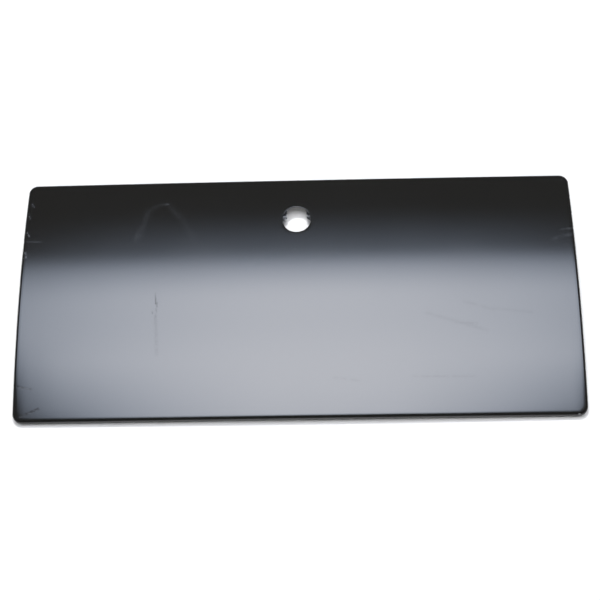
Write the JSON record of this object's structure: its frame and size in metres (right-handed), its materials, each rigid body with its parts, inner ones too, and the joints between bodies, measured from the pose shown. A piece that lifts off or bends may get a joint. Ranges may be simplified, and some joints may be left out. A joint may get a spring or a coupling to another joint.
{
  "type": "kick plate",
  "caption": "Shallow arched steel kick panel, with a rolled and turned-down edge, a round lock hole near one long edge, and a stiffening frame, lock fork and hinge pads behind it.",
  "frame": {"origin": "middle of the panel's outline, on the surface that the rim's four corners rest on", "axes": "+X along the panel, +Y towards the long edge with the lock hole, +Z out of the face"},
  "size_m": [0.368, 0.1676, 0.013],
  "materials": {
    "face_paint": "high-gloss black paint with fine scuffs",
    "frame_paint": "satin black primer",
    "bracket_paint": "semi-gloss black primer",
    "mastic": "matt grey expanding mastic"
  },
  "bodies": {
    "root": {"face_skin": "face_paint", "inner_frame": "frame_paint", "lock_fork": "bracket_paint", "hinge_plate_left": "bracket_paint", "hinge_plate_right": "bracket_paint", "weld_nuts": "bracket_paint", "mastic_pads": "mastic"}
  },
  "joints": []
}
